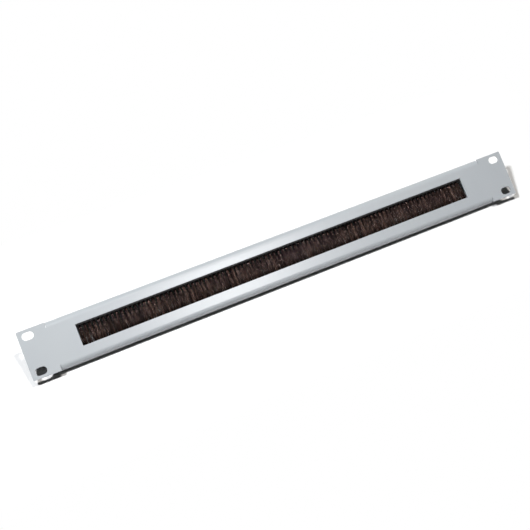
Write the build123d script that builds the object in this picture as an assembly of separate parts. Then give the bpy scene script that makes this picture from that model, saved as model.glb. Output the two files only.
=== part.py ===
"""Rack brush panel, one unit high: a folded steel front with a brush across its window.

Millimetres. X runs along the panel, Y goes back into the rack and Z is up. The origin is the
centre of the slot pattern, on the front face, so the sheet fills Y from 0 to its thickness.
"""
import os

from build123d import *

# Sheet of the front panel
panel_width = 482.6
panel_height = 43.65
sheet = 1.5
ear_corner_radius = 1.0

# Mounting slots, by the distance of their centres from the panel's ends and long edges
slot_end_margin = 8.75
slot_edge_margin = 5.95
slot_length = 10.3
slot_width = 6.8

# Window, by the margins that are left around it
top_margin = 11.0
bottom_margin = 13.05
side_margin = 48.8

# Flanges folded back along both long edges, between the flat ears: a deep one on top that
# carries the brush, and a lip along the bottom. Each flat is what follows the bend.
ear_width = 25.3
top_flat = 12.0
bottom_flat = 1.0
bend_inner_radius = 3.5
relief_width = 0.3
flange_corner_radius = 2.5

# Brush block behind the upper margin
block_depth = 9.0
block_drop = 1.5
block_overlap = 7.5
block_edge = 0.4

# Tufts in a single row of blind holes, both drawn with few sides because they repeat so often
tuft_pitch = 4.2
tuft_end_margin = 1.2
tuft_hole_diameter = 2.8
tuft_hole_depth = 4.8
tuft_clearance = 0.1
tuft_overlap = 4.5
tuft_gap = 0.25
tuft_tip_depth = 4.4
tuft_sides = 6

# Wire staple across each tuft's fold
staple_height = 1.4
staple_thickness = 0.35
fold_height = 0.8

# Countersunk screws, down through the upper flange into the block
screw_count = 5
screw_end_margin = 12.0
screw_diameter = 3.0
screw_head_diameter = 5.5
screw_web = 1.5
screw_clearance = 0.05
flange_hole_clearance = 0.2
head_recess = 0.05
drive_width = 0.7
drive_span = 2.6
drive_depth = 0.9

# Worked out from the sizes above
half_height = panel_height / 2
slot_spacing_x = panel_width - 2 * slot_end_margin
slot_spacing_z = panel_height - 2 * slot_edge_margin
window_width = panel_width - 2 * side_margin
window_top = half_height - top_margin
window_bottom = bottom_margin - half_height
window_height = window_top - window_bottom
window_z = (window_top + window_bottom) / 2
flange_length = panel_width - 2 * ear_width
bend_outer_radius = bend_inner_radius + sheet
top_depth = bend_outer_radius + top_flat
bottom_depth = bend_outer_radius + bottom_flat

block_length = window_width + 2 * block_overlap
block_bottom = window_top - block_drop
block_top = half_height - sheet
block_height = block_top - block_bottom
block_y = sheet + block_depth / 2

tuft_radius = tuft_hole_diameter / 2 - tuft_clearance
tuft_row = window_width - 2 * tuft_end_margin - tuft_hole_diameter
tuft_count = int(tuft_row // tuft_pitch) + 1
tuft_tip_width = tuft_pitch - tuft_gap
tuft_tip_z = window_bottom - tuft_overlap
staple_top = block_bottom + tuft_hole_depth - fold_height
staple_span = 2 * tuft_radius - staple_thickness

screw_pitch = (block_length - 2 * screw_end_margin) / (screw_count - 1)
pilot_depth = block_height - tuft_hole_depth - screw_web
screw_length = sheet - head_recess + pilot_depth - screw_clearance
head_height = (screw_head_diameter - screw_diameter) / 2
flange_flat_middle = (bend_outer_radius + sheet + block_depth) / 2

os.makedirs("parts", exist_ok=True)


def row(count, pitch):
    """Places of a centred row along X."""
    return [(i - (count - 1) / 2) * pitch for i in range(count)]


def upright(width, height, corner, y_from, y_to):
    """Flat upright plate with rounded corners, centred on X and Z."""
    outline = Plane.XZ * RectangleRounded(width, height, corner)
    plate = extrude(outline, y_to - y_from, dir=(0, 1, 0))
    return Pos(0, y_from, 0) * plate


def flange_section():
    """Section of the folded sheet in Y and Z: a channel with round bends, open at the back.

    While it is drawn, the sketch's own X and Y are the panel's Y and Z.
    """
    with BuildSketch(Plane.YZ) as section:
        with BuildLine():
            outer = Polyline(
                (bottom_depth, -half_height),
                (0, -half_height),
                (0, half_height),
                (top_depth, half_height),
            )
            inner = Polyline(
                (top_depth, half_height - sheet),
                (sheet, half_height - sheet),
                (sheet, sheet - half_height),
                (bottom_depth, sheet - half_height),
            )
            Line(outer @ 1, inner @ 0)
            Line(inner @ 1, outer @ 0)
        make_face()
        outside = [corner for corner in section.vertices() if abs(corner.X) < 0.01]
        fillet(outside, bend_outer_radius)
        inside = [
            corner
            for corner in section.vertices()
            if abs(corner.X - sheet) < 0.01 and abs(abs(corner.Y) - half_height + sheet) < 0.01
        ]
        fillet(inside, bend_inner_radius)
    return section.sketch


def front_panel():
    """Flat ears, folded flanges between them, the window and the four slots."""
    face = upright(panel_width, panel_height, ear_corner_radius, 0, sheet)

    middle = extrude(flange_section(), flange_length / 2, both=True)
    rear_corners = [
        edge
        for edge in middle.edges().filter_by(Axis.Z)
        if edge.center().Y > top_depth - 0.01
    ]
    middle = fillet(rear_corners, flange_corner_radius)

    strip = Box(flange_length, sheet, bend_outer_radius)
    kerf = Box(relief_width, sheet, bend_outer_radius)
    for side in (-1, 1):
        strip_z = side * (half_height - bend_outer_radius / 2)
        face -= Pos(0, sheet / 2, strip_z) * strip
        for end in (-1, 1):
            kerf_x = end * (flange_length + relief_width) / 2
            face -= Pos(kerf_x, sheet / 2, strip_z) * kerf

    panel = face + middle
    panel -= Pos(0, sheet / 2, window_z) * Box(window_width, 2 * sheet, window_height)

    slot = extrude(Plane.XZ * SlotOverall(slot_length, slot_width), sheet, both=True)
    for x in (-slot_spacing_x / 2, slot_spacing_x / 2):
        for z in (-slot_spacing_z / 2, slot_spacing_z / 2):
            panel -= Pos(x, 0, z) * slot

    shank = screw_diameter / 2 + flange_hole_clearance
    head = screw_head_diameter / 2 + screw_clearance
    for x in row(screw_count, screw_pitch):
        panel -= Pos(x, flange_flat_middle, half_height - head_recess) * countersink(shank, head, sheet)
    return panel


def countersink(shank, head, through):
    """A hole of the shank's radius with a right-angled cone down from the head's radius."""
    cone = head - shank
    profile = Plane.XZ * Polygon(
        (0, head_recess),
        (head, head_recess),
        (head, 0),
        (shank, -cone),
        (shank, -2 * through),
        (0, -2 * through),
        align=None,
    )
    return revolve(profile, Axis.Z)


def brush_block():
    """Drilled lath: tuft holes from below, pilot holes from above, front corner cut for the bend."""
    block = Pos(0, block_y, (block_bottom + block_top) / 2) * Box(block_length, block_depth, block_height)
    along = block.edges().filter_by(Axis.X)
    under_bend = along.group_by(Axis.Z)[-1].sort_by(Axis.Y)[0]
    block = chamfer(under_bend, bend_inner_radius)
    lower = block.edges().filter_by(Axis.X).group_by(Axis.Z)[0]
    block = chamfer(lower, block_edge)

    tuft_hole = extrude(polygon_ring(tuft_hole_diameter, tuft_hole_diameter), tuft_hole_depth)
    holes = [Pos(x, block_y, block_bottom) * tuft_hole for x in row(tuft_count, tuft_pitch)]

    pilot = Cylinder(
        screw_diameter / 2 + screw_clearance, pilot_depth, align=(Align.CENTER, Align.CENTER, Align.MAX)
    )
    holes += [Pos(x, flange_flat_middle, block_top) * pilot for x in row(screw_count, screw_pitch)]
    return block - holes


def polygon_ring(width, depth):
    """Polygon of the tuft's number of sides, two of its corners along X, inside an ellipse."""
    ring = RegularPolygon(0.5, tuft_sides)
    return scale(ring, (width, depth, 1))


def tuft():
    """Bundle of bristles: a root in its hole, then a fan that nearly meets its neighbours."""
    root_width = 2 * tuft_radius
    root = extrude(Pos(0, 0, block_bottom) * polygon_ring(root_width, root_width), tuft_hole_depth)
    fan = loft(
        [
            Pos(0, 0, tuft_tip_z) * polygon_ring(tuft_tip_width, tuft_tip_depth),
            Pos(0, 0, block_bottom) * polygon_ring(root_width, root_width),
        ],
        ruled=True,
    )
    groove = Pos(0, 0, staple_top - staple_height / 2) * Box(
        tuft_hole_diameter, staple_thickness, staple_height
    )
    return root + fan - groove


def staple():
    """Flat wire across the hole, inside the tuft's fold."""
    return Pos(0, 0, staple_top - staple_height / 2) * Box(staple_span, staple_thickness, staple_height)


def block_screw():
    """Countersunk self-tapping screw with a cross recess, its head just below the flange."""
    head = screw_head_diameter / 2
    shank = screw_diameter / 2
    profile = Plane.XZ * Polygon(
        (0, 0),
        (head, 0),
        (shank, -head_height),
        (shank, -screw_length),
        (0, -screw_length),
        align=None,
    )
    body = revolve(profile, Axis.Z)
    for turn in (0, 90):
        bar = Rot(0, 0, turn) * Box(drive_span, drive_width, 2 * drive_depth)
        body -= bar
    return Pos(0, 0, half_height - head_recess) * body


def repeat(piece, places, y):
    """Separate copies of one piece along X."""
    return Compound(children=[Pos(x, y, 0) * piece for x in places])


tuft_places = row(tuft_count, tuft_pitch)
nodes = {
    "front_panel": front_panel(),
    "brush_block": brush_block(),
    "bristle_tufts": repeat(tuft(), tuft_places, block_y),
    "tuft_staples": repeat(staple(), tuft_places, block_y),
    "block_screws": repeat(block_screw(), row(screw_count, screw_pitch), flange_flat_middle),
}
for name, shape in nodes.items():
    export_step(shape, f"parts/{name}.step")
print("tufts", tuft_count, "window", window_width, "x", window_height)
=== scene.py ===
"""Rack brush panel, one unit high, propped face up over a white table.

Metres. X runs along the panel, Y goes back from its face and Z goes up across it. The folded front, the
brush block, the staples and the screws are the CAD nodes with their finishes. The bristles are new:
every tuft is a bundle of fibres folded over its staple, in the place of the plain CAD tufts.
"""
import math

import bpy
import numpy as np
from mathutils import Matrix, Vector


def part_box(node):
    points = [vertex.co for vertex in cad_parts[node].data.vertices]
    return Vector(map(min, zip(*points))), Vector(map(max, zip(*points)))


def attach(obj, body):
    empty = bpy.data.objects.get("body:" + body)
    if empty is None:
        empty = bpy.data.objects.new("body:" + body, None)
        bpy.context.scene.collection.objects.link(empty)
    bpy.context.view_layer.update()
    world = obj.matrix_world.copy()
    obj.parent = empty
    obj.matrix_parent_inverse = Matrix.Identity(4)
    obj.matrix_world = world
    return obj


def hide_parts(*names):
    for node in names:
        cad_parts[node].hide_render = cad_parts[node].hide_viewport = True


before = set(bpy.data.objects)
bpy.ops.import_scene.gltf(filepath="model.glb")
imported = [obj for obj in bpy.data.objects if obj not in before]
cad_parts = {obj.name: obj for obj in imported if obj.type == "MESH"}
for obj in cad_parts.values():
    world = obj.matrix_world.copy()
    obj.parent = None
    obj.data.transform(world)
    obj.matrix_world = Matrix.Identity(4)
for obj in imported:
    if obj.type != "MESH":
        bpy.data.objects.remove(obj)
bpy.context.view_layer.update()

MM = 0.001
WHITE = (1, 1, 1, 1)


def linear(hex_colour):
    """sRGB hex to linear colour: a straight part near black, and a power of 2.4 above it."""
    channels = [int(hex_colour[i:i + 2], 16) / 255 for i in (1, 3, 5)]
    return [c / 12.92 if c < 0.04045 else ((c + 0.055) / 1.055) ** 2.4 for c in channels] + [1.0]


def add(tree, kind, inputs=None, **settings):
    """Adds one node. Settings are its own properties; inputs are values or other nodes' outputs."""
    node = tree.nodes.new("ShaderNode" + kind)
    for name, value in settings.items():
        setattr(node, name, value)
    for name, value in (inputs or {}).items():
        if isinstance(value, bpy.types.NodeSocket):
            tree.links.new(value, node.inputs[name])
        else:
            node.inputs[name].default_value = value
    return node


def blank_material(name):
    """An empty material's tree and its output node."""
    material = bpy.data.materials.new(name)
    material.use_nodes = True
    material.node_tree.nodes.clear()
    return material, material.node_tree, add(material.node_tree, "OutputMaterial")


def surface(name, bump_size, bump_height, bump_strength, colour, roughness, uniform):
    """A finish on Object coordinates: one bump, in millimetres, and an uneven colour and roughness."""
    material, tree, output = blank_material(name)
    place = add(tree, "TexCoord").outputs["Object"]
    grain = add(tree, "TexNoise", {"Vector": place, "Scale": 1 / (bump_size * MM), "Detail": 3.0,
                                   "Roughness": 0.5}).outputs["Fac"]
    bump = add(tree, "Bump", {"Height": grain, "Strength": bump_strength, "Distance": bump_height * MM})
    shader = add(tree, "BsdfPrincipled", {
        "Base Color": colour(tree, place), "Roughness": roughness(tree, grain),
        "Normal": bump.outputs["Normal"], **uniform})
    tree.links.new(shader.outputs["BSDF"], output.inputs["Surface"])
    return material


def blotches(size, dark, pale):
    """Soft patches of two close colours; size is theirs in millimetres."""
    def make(tree, place):
        cloud = add(tree, "TexNoise", {"Vector": place, "Scale": 1 / (size * MM), "Detail": 2.0})
        ramp = add(tree, "ValToRGB", {"Fac": cloud.outputs["Fac"]})
        low, high = ramp.color_ramp.elements
        low.position, high.position = 0.35, 0.65
        low.color, high.color = linear(dark), linear(pale)
        return ramp.outputs["Color"]
    return make


def uneven(low, high):
    """Roughness that follows the grain of the surface between two values."""
    def make(tree, grain):
        spread = add(tree, "MapRange", {"Value": grain, "From Min": 0.3, "From Max": 0.7,
                                        "To Min": low, "To Max": high})
        return spread.outputs["Result"]
    return make


# Light grey powder coat, sprayed and baked on steel: a soft sheen with a fine orange peel
powder_coat = surface("powder_coat", bump_size=1.6, bump_height=0.012, bump_strength=0.25,
                      colour=blotches(90, "#ADB2B7", "#B0B5B9"), roughness=uneven(0.31, 0.37),
                      uniform={"IOR": 1.5})

# Black polypropylene, sawn and drilled: dull, with a faint grey on its grain
black_plastic = surface("black_plastic", bump_size=0.5, bump_height=0.02, bump_strength=0.35,
                        colour=blotches(6, "#100F0E", "#171514"), roughness=uneven(0.5, 0.62),
                        uniform={"IOR": 1.49, "Specular IOR Level": 0.25})

# Galvanised spring wire, rolled flat: grey metal, scored by the tuft machine
steel_wire = surface("steel_wire", bump_size=0.15, bump_height=0.01, bump_strength=0.4,
                     colour=blotches(0.8, "#8C8E90", "#A4A6A8"), roughness=uneven(0.28, 0.45),
                     uniform={"Metallic": 1.0})

# Bright zinc plate on steel screws: a slightly blue metal, cloudy from the bath
zinc_plate = surface("zinc_plate", bump_size=0.3, bump_height=0.008, bump_strength=0.3,
                     colour=blotches(1.5, "#B4BAC2", "#CBD0D6"), roughness=uneven(0.22, 0.36),
                     uniform={"Metallic": 1.0})

for node, finish in (("front_panel", powder_coat), ("brush_block", black_plastic),
                     ("tuft_staples", steel_wire), ("block_screws", zinc_plate)):
    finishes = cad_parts[node].data.materials
    finishes.clear()
    finishes.append(finish)


def nylon_bristle():
    """Dark nylon, drawn to a fibre: nearly black with a gloss, each fibre its own brown."""
    material, tree, output = blank_material("nylon_bristle")
    tone = add(tree, "Attribute", attribute_name="tone")
    ramp = add(tree, "ValToRGB", {"Fac": tone.outputs["Fac"]})
    marks = ramp.color_ramp.elements
    marks[0].color, marks[1].color = linear("#050202"), linear("#9A7A6C")
    for position, colour in ((0.5, "#140A08"), (0.82, "#463029")):
        marks.new(position).color = linear(colour)
    # A thin translucent fibre sends part of its shine back from inside, which warms it
    shader = add(tree, "BsdfPrincipled", {
        "Base Color": ramp.outputs["Color"], "Roughness": 0.15, "IOR": 1.53, "Specular IOR Level": 0.27,
        "Specular Tint": linear("#FFDDD2")})
    tree.links.new(shader.outputs["BSDF"], output.inputs["Surface"])
    return material


bristle_finish = nylon_bristle()

# Tufts, as in the CAD, in metres
tuft_pitch = 4.2 * MM
tuft_count = 91
tuft_y = 6.0 * MM
mouth_z = 9.325 * MM
tip_z = -13.275 * MM
staple_top = 13.325 * MM
hole_half_width = 1.4 * MM

# Fibres: a leg's least and most distance from the staple, the size of a tuft below its hole, the
# fold's height over the staple, the shortest leg as a part of the longest, and the share of pale legs
fibres_in_tuft = 46
fibre_radius = 0.1 * MM
least_depth, most_depth = 0.30 * MM, 1.05 * MM
tip_half_width = 2.5 * MM
flare_depth = 1.15 * MM
brush_half_depth = 2.3 * MM
over_staple = 0.12 * MM
shortest_leg = 0.965
pale_share = 0.07

# The row's end tufts lean outwards: from where along X, over what length, and how far at the tip
lean_start, lean_length, lean_reach = 183 * MM, 6 * MM, 2.4 * MM


def folded_fibres(places, seed):
    """Centre lines of the tufts' fibres, as an array of fibres, points and coordinates.

    A fibre climbs from one tip to the hole's mouth, passes over the staple and comes down again.
    Below the mouth, with s from 0 there to 1 at the tip, the sideways distance from the tuft's
    axis grows as s to the power of 0.85. The distance to the front or back swells just below the
    mouth and then shrinks again: it is 1 minus e to the power of minus s over 0.07, times 1 minus
    half of s. To both comes a bow of its own, the sine of half a turn times s. The tufts at the
    row's ends also lean outwards, so that they fill the window's ends. Each tuft leans a little
    to the front or the back, and each fibre has small kinks, which break up its shine.
    """
    random = np.random.default_rng(seed)
    count = len(places) * fibres_in_tuft
    axis_x = np.repeat(places, fibres_in_tuft)[:, None]
    depth = random.uniform(least_depth, most_depth, count)[:, None]
    # The hole is round, so a leg far from the staple has less room along it
    room = hole_half_width - fibre_radius - 0.6 * depth
    along = random.uniform(-1, 1, count)[:, None] * room

    # Stations along a fibre: up the back leg, over the fold and down the front leg
    s = np.array([1, 0.62, 0.3, 0.12, 0.05, 0, 0, 0, 0, 0, 0, 0.05, 0.12, 0.3, 0.62, 1])
    leg = np.where(np.arange(len(s)) < len(s) // 2, 0, 1)
    side = np.array([1, 1, 1, 1, 1, 1, 1, 0.55, -0.55, -1, -1, -1, -1, -1, -1, -1])
    up = np.array([0, 0, 0, 0, 0, 0, 0.62, 1, 1, 0.62, 0, 0, 0, 0, 0, 0])
    spread, flare = s ** 0.85, (1 - np.exp(-s / 0.07)) * (1 - 0.5 * s)
    bow = np.sin(np.pi * s)

    def bell(width):
        """One draw for each leg from a bell curve; its width is in millimetres."""
        return (random.normal(0, width, (count, 2)) * MM)[:, leg]

    def bell_of_tuft(width):
        """One draw for each tuft from a bell curve, in the width's own unit, for all its fibres."""
        return np.repeat(random.normal(0, width, len(places)), fibres_in_tuft)[:, None]

    end_part = np.clip((np.abs(axis_x) - lean_start) / lean_length, 0, 1)
    fan_x = along / room * tip_half_width + bell(0.6) + np.sign(axis_x) * end_part * lean_reach
    lean = bell_of_tuft(0.45 * MM)
    fan_y = side * (depth * 1.2 + flare_depth) + bell(0.25) + lean
    x = axis_x + along + (fan_x - along) * spread + bell(0.22) * bow
    y = tuft_y + side * depth + (fan_y - side * depth) * flare + bell(0.05) * bow
    kink = random.normal(0, 0.3 * MM, y.shape) * (s > 0.1)
    y = np.clip(y + kink, tuft_y - brush_half_depth, tuft_y + brush_half_depth)

    # The inner fibres lie on the staple and the outer ones over them; no two legs end level
    fold = staple_top + over_staple + (depth - least_depth) * 0.75
    drop = (mouth_z - tip_z) * random.uniform(shortest_leg, 1.0, (count, 2))[:, leg]
    z = mouth_z + (fold - mouth_z) * up - drop * s
    batch = bell_of_tuft(0.07)
    pale = 0.5 * (random.random((count, 2)) > 1 - pale_share)
    tone = np.clip(random.beta(1.7, 2.6, (count, 2)) + batch + pale, 0, 1)
    return np.stack([x, y, z], axis=2), tone[:, leg]


def bristle_piece(name, places, seed):
    """Three-sided tubes along the fibres' centre lines, closed at both tips.

    Round each point, the section's corners lie on a circle in the plane that is square to the
    line there. The line never runs along X, so that plane is spanned by the line's direction
    crossed with X, and by the direction crossed with the result.
    """
    centre, tone = folded_fibres(places, seed)
    count, rings = centre.shape[:2]
    heading = np.gradient(centre, axis=1)
    heading /= np.linalg.norm(heading, axis=2, keepdims=True)
    first = np.cross(heading, [1.0, 0.0, 0.0])
    first /= np.linalg.norm(first, axis=2, keepdims=True)
    second = np.cross(heading, first)
    turn = np.random.default_rng(seed + 1).uniform(0, 2 * np.pi, (count, 1, 1))
    corner = turn + np.arange(3) * 2 * np.pi / 3
    taper = np.abs(np.linspace(-1, 1, rings))[None, :, None]
    radius = fibre_radius * (1.12 - 0.3 * taper)
    points = (centre[:, :, None, :]
              + (radius * np.cos(corner))[..., None] * first[:, :, None, :]
              + (radius * np.sin(corner))[..., None] * second[:, :, None, :])

    start = (np.arange(count) * rings * 3)[:, None, None]
    base = start + (np.arange(rings - 1) * 3)[None, :, None]
    here = np.arange(3)[None, None, :]
    after = (here + 1) % 3
    quads = np.stack([base + here, base + after, base + 3 + after, base + 3 + here], axis=3)
    first_cap = start[:, 0, :] + np.array([2, 1, 0])
    last_cap = start[:, 0, :] + (rings - 1) * 3 + np.array([0, 1, 2])
    loops = np.concatenate([quads.ravel(), first_cap.ravel(), last_cap.ravel()])
    sizes = np.concatenate([np.full(quads.size // 4, 4), np.full(2 * count, 3)])
    starts = np.concatenate([[0], np.cumsum(sizes)[:-1]])

    mesh = bpy.data.meshes.new(name)
    mesh.vertices.add(count * rings * 3)
    mesh.vertices.foreach_set("co", points.ravel())
    mesh.loops.add(len(loops))
    mesh.loops.foreach_set("vertex_index", loops)
    mesh.polygons.add(len(sizes))
    mesh.polygons.foreach_set("loop_start", starts)
    mesh.polygons.foreach_set("use_smooth", np.ones(len(sizes), bool))
    mesh.attributes.new("tone", "FLOAT", "POINT").data.foreach_set(
        "value", np.repeat(tone.ravel(), 3).astype(np.float32))
    mesh.update(calc_edges=True)
    mesh.validate()
    mesh.materials.append(bristle_finish)
    piece = bpy.data.objects.new(name, mesh)
    bpy.context.scene.collection.objects.link(piece)
    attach(piece, "root")
    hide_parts("bristle_tufts")


tuft_places = (np.arange(tuft_count) - (tuft_count - 1) / 2) * tuft_pitch
tufts_left = 46
bristle_piece("bristles_left", tuft_places[:tufts_left], 11)
bristle_piece("bristles_right", tuft_places[tufts_left:], 23)


def seen(tree, path):
    """1 for what the camera sees, directly, in a reflection or through glass, and 0 for light."""
    part = add(tree, "Math", {0: path["Is Camera Ray"], 1: path["Is Glossy Ray"]},
               operation="MAXIMUM").outputs[0]
    return add(tree, "Math", {0: part, 1: path["Is Transmission Ray"]}, operation="MAXIMUM").outputs[0]


def table_material():
    """White laminate: matt under the panel, where it keeps its shadows, and plain white far from it.

    It hides nothing when the panel is seen from behind: a camera ray passes its lower side, and
    what such a ray meets is lit through it. Light that has bounced already isn't let through, and
    to light that has bounced twice the table is painted near black: painted shade, so that the
    shadow under the panel stays black.
    """
    material, tree, output = blank_material("white_table")
    path = add(tree, "LightPath").outputs
    back = add(tree, "NewGeometry").outputs["Backfacing"]
    place = add(tree, "SeparateXYZ", {"Vector": add(tree, "TexCoord").outputs["Object"]}).outputs

    def away(axis, matt_to, white_from):
        size = add(tree, "Math", {0: place[axis]}, operation="ABSOLUTE").outputs[0]
        return add(tree, "MapRange", {"Value": size, "From Min": matt_to,
                                      "From Max": white_from}).outputs["Result"]

    far = add(tree, "Math", {0: away("X", matt_to=0.26, white_from=0.33),
                             1: away("Z", matt_to=0.05, white_from=0.11)}, operation="MAXIMUM").outputs[0]
    glow = add(tree, "Math", {0: far, 1: seen(tree, path)}, operation="MULTIPLY").outputs[0]
    # Painted shade: to light that has bounced twice the table is near black, which keeps the shadow under
    # the panel black
    bounced = add(tree, "Math", {0: path["Diffuse Depth"], 1: 1.5}, operation="GREATER_THAN").outputs[0]
    white_or_painted_shade = add(tree, "MixRGB", {"Fac": bounced, "Color1": linear("#FDFDFD"), "Color2": linear("#202020")})
    matt = add(tree, "BsdfDiffuse", {"Color": white_or_painted_shade.outputs["Color"]})
    white = add(tree, "Emission", {"Color": WHITE, "Strength": 1.0})
    top = add(tree, "MixShader", {0: glow, 1: matt.outputs[0], 2: white.outputs[0]})

    below = add(tree, "Math", {0: back, 1: path["Is Camera Ray"]}, operation="MULTIPLY").outputs[0]
    straight = add(tree, "Math", {0: path["Diffuse Depth"], 1: 0.5}, operation="LESS_THAN").outputs[0]
    lit = add(tree, "Math", {0: straight, 1: path["Is Shadow Ray"]}, operation="MULTIPLY").outputs[0]
    clear = add(tree, "Math", {0: below, 1: lit}, operation="MAXIMUM").outputs[0]
    both = add(tree, "MixShader", {0: clear, 1: top.outputs[0],
                                   2: add(tree, "BsdfTransparent").outputs[0]})
    tree.links.new(both.outputs[0], output.inputs["Surface"])
    return material


def table(half_width, below_lower, below_upper):
    """The table's flat top, at two depths below the panel's long edges: the panel is propped on it.

    The plane leans by the difference of the two depths over the panel's height. A corner is the
    middle, plus or minus half the width along X and along the leaning direction.
    """
    low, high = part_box("front_panel")
    lean = Vector((0, below_upper - below_lower, high.z - low.z)).normalized()
    middle = Vector((0, (below_upper + below_lower) / 2, 0))
    across = Vector((1, 0, 0))
    corners = [middle + half_width * (a * across + b * lean)
               for a, b in ((-1, -1), (1, -1), (1, 1), (-1, 1))]
    mesh = bpy.data.meshes.new("table")
    mesh.from_pydata([tuple(c) for c in corners], [], [(0, 1, 2, 3)])
    mesh.materials.append(table_material())
    top = bpy.data.objects.new("table", mesh)
    bpy.context.scene.collection.objects.link(top)


table(half_width=4.0, below_lower=9.0 * MM, below_upper=31.0 * MM)


def studio_world(light_strength):
    """White behind everything that the camera sees, and a faint light from all round."""
    world = bpy.data.worlds.new("studio")
    bpy.context.scene.world = world
    world.use_nodes = True
    tree = world.node_tree
    tree.nodes.clear()
    path = add(tree, "LightPath").outputs
    faint = add(tree, "Background", {"Color": WHITE, "Strength": light_strength})
    white = add(tree, "Background", {"Color": WHITE, "Strength": 1.0})
    mix = add(tree, "MixShader", {0: seen(tree, path), 1: faint.outputs[0], 2: white.outputs[0]})
    add(tree, "OutputWorld", {"Surface": mix.outputs[0]})


studio_world(light_strength=0.03)


def lamp(name, place, width, power, colour="#FFFFFF", aim=(0, 0, 0)):
    """A square soft lamp at a place, turned to an aim, both in metres."""
    light = bpy.data.lights.new(name, "AREA")
    light.size, light.energy = width, power
    light.color = linear(colour)[:3]
    holder = bpy.data.objects.new(name, light)
    holder.location = place
    holder.rotation_euler = (Vector(aim) - Vector(place)).to_track_quat("-Z", "Y").to_euler()
    bpy.context.scene.collection.objects.link(holder)
    return holder


# The two lamps whose shadows lie on the table, the stronger from the upper left
lamp("upper_left_lamp", (-0.70, -1.15, 0.793), width=0.18, power=20.9, colour="#FBFDFF")
lamp("upper_right_lamp", (0.194, -1.144, 0.76), width=0.16, power=8.9, colour="#FFFCF8")
# A small window, only seen as a reflection: the face's sheen, and the glints on the bristles' roots
window_light = lamp("window_light", (0.159, -1.0, 0.063), width=0.12, power=5.7, aim=(-0.056, 0, 0))
window_light.visible_diffuse = False
# Below the table: two lamps that show the panel's back
lamp("rear_lamp", (0.45, 1.20, 0.75), width=0.8, power=9.0)
lamp("rear_lamp_left", (-0.75, 1.0, -0.35), width=0.8, power=5.0)


def camera():
    """The photograph's view: a little left of the face's normal and below it, turned by a roll.

    The direction to the camera has the azimuth's sine and minus its cosine, both times the
    elevation's cosine, and the elevation's sine. The picture's right and up are the level ones
    turned by the roll.
    """
    azimuth, elevation, roll = (math.radians(a) for a in (-14.6, -3.5, -21.9))
    target, distance = Vector((-17.3, 0, 0.06)) * MM, 0.885
    focal_px, frame_px = 985, 530
    back = Vector((math.sin(azimuth) * math.cos(elevation), -math.cos(azimuth) * math.cos(elevation),
                   math.sin(elevation)))
    level = (-back).cross(Vector((0, 0, 1))).normalized()
    upright = level.cross(-back)
    right = math.cos(roll) * level + math.sin(roll) * upright
    up = math.cos(roll) * upright - math.sin(roll) * level
    data = bpy.data.cameras.new("camera")
    data.sensor_width = 36
    data.lens = data.sensor_width * focal_px / frame_px
    data.clip_start, data.clip_end = 0.01, 50
    holder = bpy.data.objects.new("camera", data)
    holder.matrix_world = (Matrix.Translation(target + distance * back)
                           @ Matrix((right, up, back)).transposed().to_4x4())
    bpy.context.scene.collection.objects.link(holder)
    bpy.context.scene.camera = holder


camera()
bpy.context.scene.view_settings.view_transform = "Standard"
